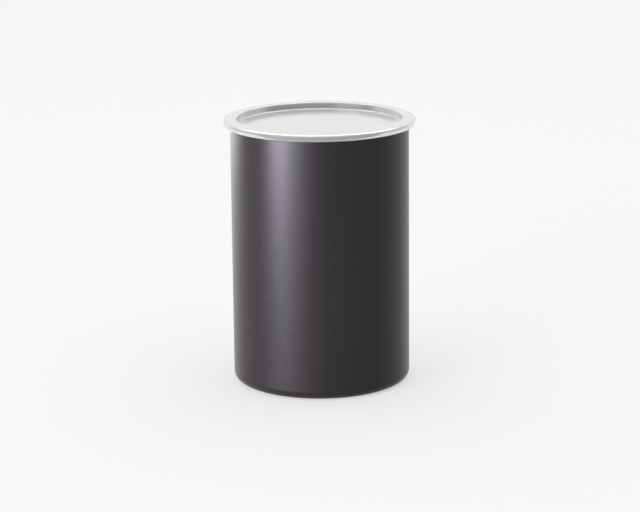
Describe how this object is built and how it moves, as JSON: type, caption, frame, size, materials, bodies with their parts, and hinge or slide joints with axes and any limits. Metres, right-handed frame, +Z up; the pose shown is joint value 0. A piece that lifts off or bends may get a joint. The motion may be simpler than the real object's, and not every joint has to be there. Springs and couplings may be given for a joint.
{
  "type": "coffee canister with valve",
  "caption": "Black coated steel coffee canister with a clear press-on lid and an inner plunger lid whose folding handle works a cam, poppet valve and spring.",
  "frame": {"origin": "centre of the can's base, on the surface that it stands on", "axes": "+Z up along the can's axis; the folded handle lies towards -Y, and its hinge axle runs along X"},
  "size_m": [0.1304, 0.1304, 0.1815],
  "materials": {
    "coated_steel": "satin black coat outside, bare steel inside",
    "clear_plastic": "clear, polished",
    "black_plastic": "fine moulded grain",
    "grey_plastic": "smooth moulded",
    "red_plastic": "smooth moulded",
    "silicone": "matt silicone",
    "pale_silicone": "matt silicone",
    "steel": "bright stainless"
  },
  "bodies": {
    "can": {"canister_body": "coated_steel"},
    "lid": {"outer_lid": "clear_plastic"},
    "plunger": {"plunger_deck": "black_plastic", "plunger_base": "black_plastic", "plunger_gasket": "silicone", "valve_seat": "grey_plastic", "seat_o_ring": "silicone", "valve_guard": "black_plastic", "valve_spring": "steel"},
    "handle": {"handle": "black_plastic", "handle_axle": "steel", "valve_cam": "grey_plastic"},
    "poppet": {"valve_poppet": "red_plastic", "valve_seal": "pale_silicone", "stem_clip": "steel"}
  },
  "joints": [
    {"name": "outer_lid_lift", "type": "slide", "parent": "can", "child": "lid", "axis": [0, 0, 1], "range_m": [0, 0.06]},
    {"name": "plunger_slide", "type": "slide", "parent": "can", "child": "plunger", "axis": [0, 0, 1], "range_m": [-0.082, 0.02]},
    {"name": "handle_swing", "type": "hinge", "parent": "plunger", "child": "handle", "pos_m": [0, 0, 0.1097], "axis": [-1, 0, 0], "range_deg": [0, 90]},
    {"name": "valve_lift", "type": "slide", "parent": "plunger", "child": "poppet", "axis": [0, 0, 1], "range_m": [0, 0.002], "deforming": ["valve_spring"]}
  ],
  "couplings": [
    {"joint": "valve_lift", "follows": "handle_swing", "m_per_rad": 0.001273}
  ]
}
